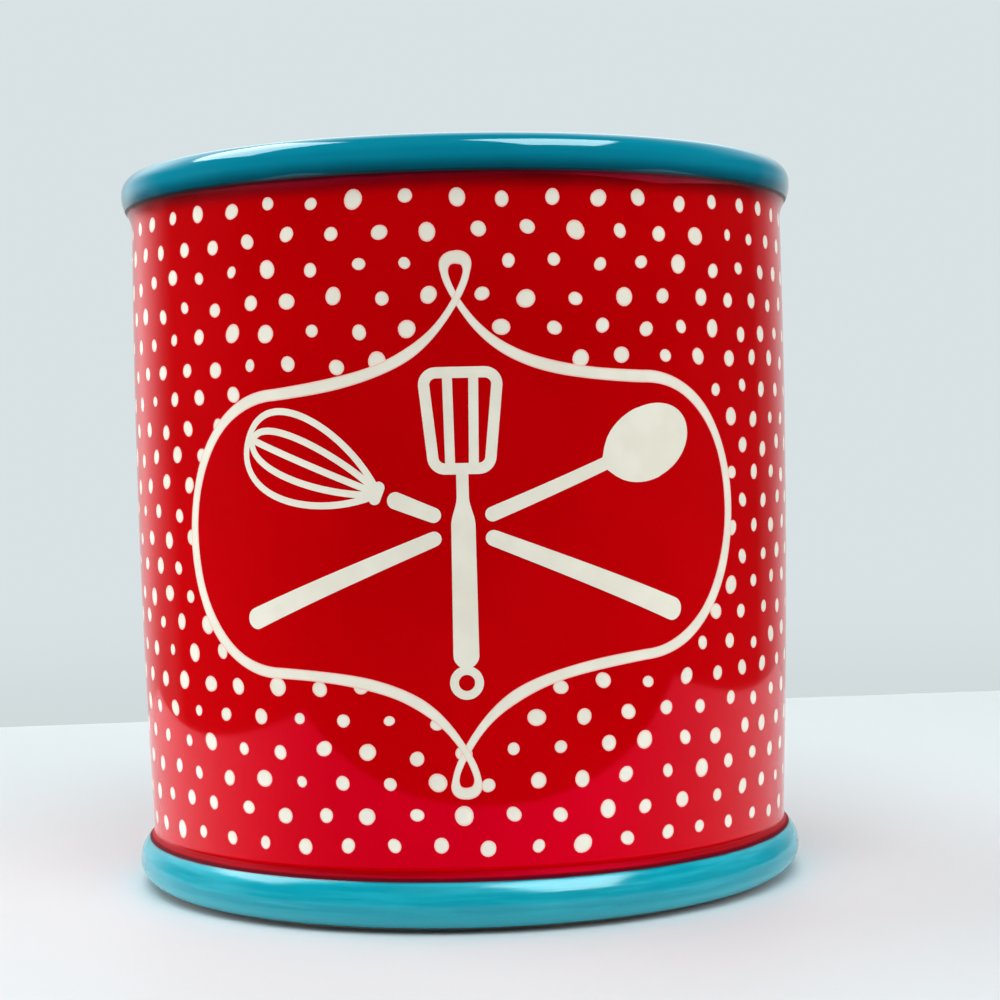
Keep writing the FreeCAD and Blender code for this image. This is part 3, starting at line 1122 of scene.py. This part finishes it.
def add_lamp(name, azimuth, elevation, width, depth, power):
    """A soft lamp that looks at the crock.

    Azimuth 0 is the camera's side, and a positive one is to the camera's right.
    """
    turn = math.radians(azimuth)
    rise = math.radians(elevation)
    way = Vector((math.sin(turn) * math.cos(rise), -math.cos(turn) * math.cos(rise), math.sin(rise)))
    clear_selection()
    bpy.ops.object.light_add(type="AREA", location=LAMP_AIM + way * LAMP_DISTANCE)
    lamp = bpy.context.object
    lamp.name = name
    lamp.rotation_euler = way.to_track_quat("Z", "Y").to_euler()
    lamp.data.shape = "RECTANGLE"
    lamp.data.size = width
    lamp.data.size_y = depth
    lamp.data.energy = power
    lamp.visible_glossy = False


add_lamp("front_lamp", azimuth=-6, elevation=58, width=1.4, depth=1.3, power=33.0)
add_lamp("fill_lamp", azimuth=42, elevation=25, width=1.2, depth=1.0, power=13.0)
add_lamp("left_lamp", azimuth=-108, elevation=9, width=2.2, depth=0.8, power=54.0)
add_lamp("right_lamp", azimuth=110, elevation=9, width=2.4, depth=0.8, power=21.0)

# How bright the room is that the gloss mirrors
ROOM_LEVEL = 0.04
SIDES_LEVEL = 0.16
BACK_LEVEL = 0.5
LEFT_SIDE_LEVEL = 0.5
RIGHT_WINDOW_LEVEL = 12.5
LEFT_WINDOW_LEVEL = 8.5
ROOM_RED_SHARE = 0.94

# The right window's length runs this far to the right and this far to the front on the ceiling
WINDOW_RIGHTWARD = 0.544
WINDOW_FORWARD = 0.839
LEFT_WINDOW_SLANT = 0.2
LOWEST_RISE = 0.15


def make_surroundings():
    """A pale backdrop for the eye, and for the gloss a dim room with two windows in its ceiling.

    Edges in the room are parts of a direction one unit long: across, in depth and in rise.
    """
    world = bpy.context.scene.world or bpy.data.worlds.new("surroundings")
    bpy.context.scene.world = world
    world.use_nodes = True
    nodes = Nodes(world.node_tree)
    seen = (nodes.add("ShaderNodeLightPath", output="Is Camera Ray")
            + nodes.add("ShaderNodeLightPath", output="Is Transmission Ray"))
    mirrored = nodes.add("ShaderNodeLightPath", output="Is Glossy Ray")
    way = nodes.add("ShaderNodeTexCoord", output="Generated")
    across = nodes.part_of(way, 0)
    depth = nodes.part_of(way, 1)
    rise = nodes.part_of(way, 2)

    # The dim room, paler at its sides, more so high up on the left, and palest at the back
    sides = nodes.between(depth - across * 0.06, 0.48, 0.62)
    level = ROOM_LEVEL + sides * SIDES_LEVEL + nodes.between(depth, 0.65, 0.92) * BACK_LEVEL
    left_side = nodes.strip(depth, 0.52, 0.72, 0.8, 0.96) * nodes.between(rise, -0.14, 0.06)
    level = level + left_side * nodes.between(across, -0.3, -0.5) * LEFT_SIDE_LEVEL

    # The windows, in places on a ceiling one unit over the crock
    lifted = nodes.add("ShaderNodeMath", {"operation": "MAXIMUM"}, {0: rise, 1: LOWEST_RISE})
    ceiling_x = across / lifted
    ceiling_y = depth / lifted
    along = ceiling_x * WINDOW_RIGHTWARD - ceiling_y * WINDOW_FORWARD
    beside = ceiling_x * WINDOW_FORWARD + ceiling_y * WINDOW_RIGHTWARD
    right_window = (nodes.strip(along, 0.37, 0.43, 1.6, 1.75)
                    * nodes.strip(beside, -0.25, -0.19, 0.51, 0.57))
    slanted = ceiling_y - ceiling_x * LEFT_WINDOW_SLANT
    left_window = (nodes.strip(ceiling_x, -1.5, -1.4, -0.4, -0.34)
                   * nodes.strip(slanted, 0.02, 0.08, 0.88, 0.95))
    windows = right_window * RIGHT_WINDOW_LEVEL + left_window * LEFT_WINDOW_LEVEL
    level = level + windows * nodes.between(rise, 0.2, 0.3)

    # The glow of the ceiling over the back
    aside = nodes.add("ShaderNodeMath", {"operation": "ABSOLUTE"}, {0: across})
    glow = nodes.between(rise, 0.2, 0.5) * nodes.between(depth, 0.1, 0.65)
    glow = glow * (0.7 + nodes.between(aside, 0.5, 0.1) * 1.2 + nodes.between(across, -0.3, -0.6) * 0.8)
    level = level + glow
    room = nodes.add("ShaderNodeCombineXYZ", None, {0: level * ROOM_RED_SHARE, 1: level, 2: level})

    # The light that fills the shadows comes from low down at the sides and the back
    fill = nodes.blend(nodes.between(depth, -0.2, 0.7), (0.1, 0.105, 0.11, 1), (0.58, 0.63, 0.64, 1))
    fill = nodes.blend(nodes.between(aside, 0.2, 0.9), fill, (0.45, 0.48, 0.49, 1))
    fill = nodes.blend(nodes.between(rise, 0.2, 0.6), fill, (0.14, 0.15, 0.15, 1))
    light = nodes.blend(mirrored, fill, room)
    # Painted shade: the backdrop is darker low down, near the table's back edge
    backdrop = nodes.blend(nodes.between(rise, -0.13, -0.06),
                           (0.63, 0.70, 0.71, 1), (0.69, 0.76, 0.775, 1))
    light = nodes.blend(seen, light, backdrop)
    surface = nodes.add("ShaderNodeBackground", None, {"Color": light, "Strength": 1.0})
    nodes.add("ShaderNodeOutputWorld", None, {"Surface": surface})


make_surroundings()

CAMERA_PLACE = (0, -0.549712, 0.104137)
CAMERA_FOCUS = 2195.533
CAMERA_YAW = 0.97
CAMERA_PITCH = -1.295
CAMERA_ROLL = -1.29
IMAGE_SIZE = 1000
SENSOR = 36.0

clear_selection()
bpy.ops.object.camera_add(location=CAMERA_PLACE)
camera = bpy.context.object
camera.name = "camera"
camera.data.sensor_width = SENSOR
camera.data.lens = CAMERA_FOCUS * SENSOR / IMAGE_SIZE
turned = Matrix.Rotation(math.radians(-CAMERA_YAW), 3, "Z")
turned = turned @ Matrix.Rotation(math.radians(90 + CAMERA_PITCH), 3, "X")
turned = turned @ Matrix.Rotation(math.radians(CAMERA_ROLL), 3, "Z")
camera.rotation_euler = turned.to_euler()
bpy.context.scene.camera = camera
bpy.context.scene.view_settings.view_transform = "Standard"
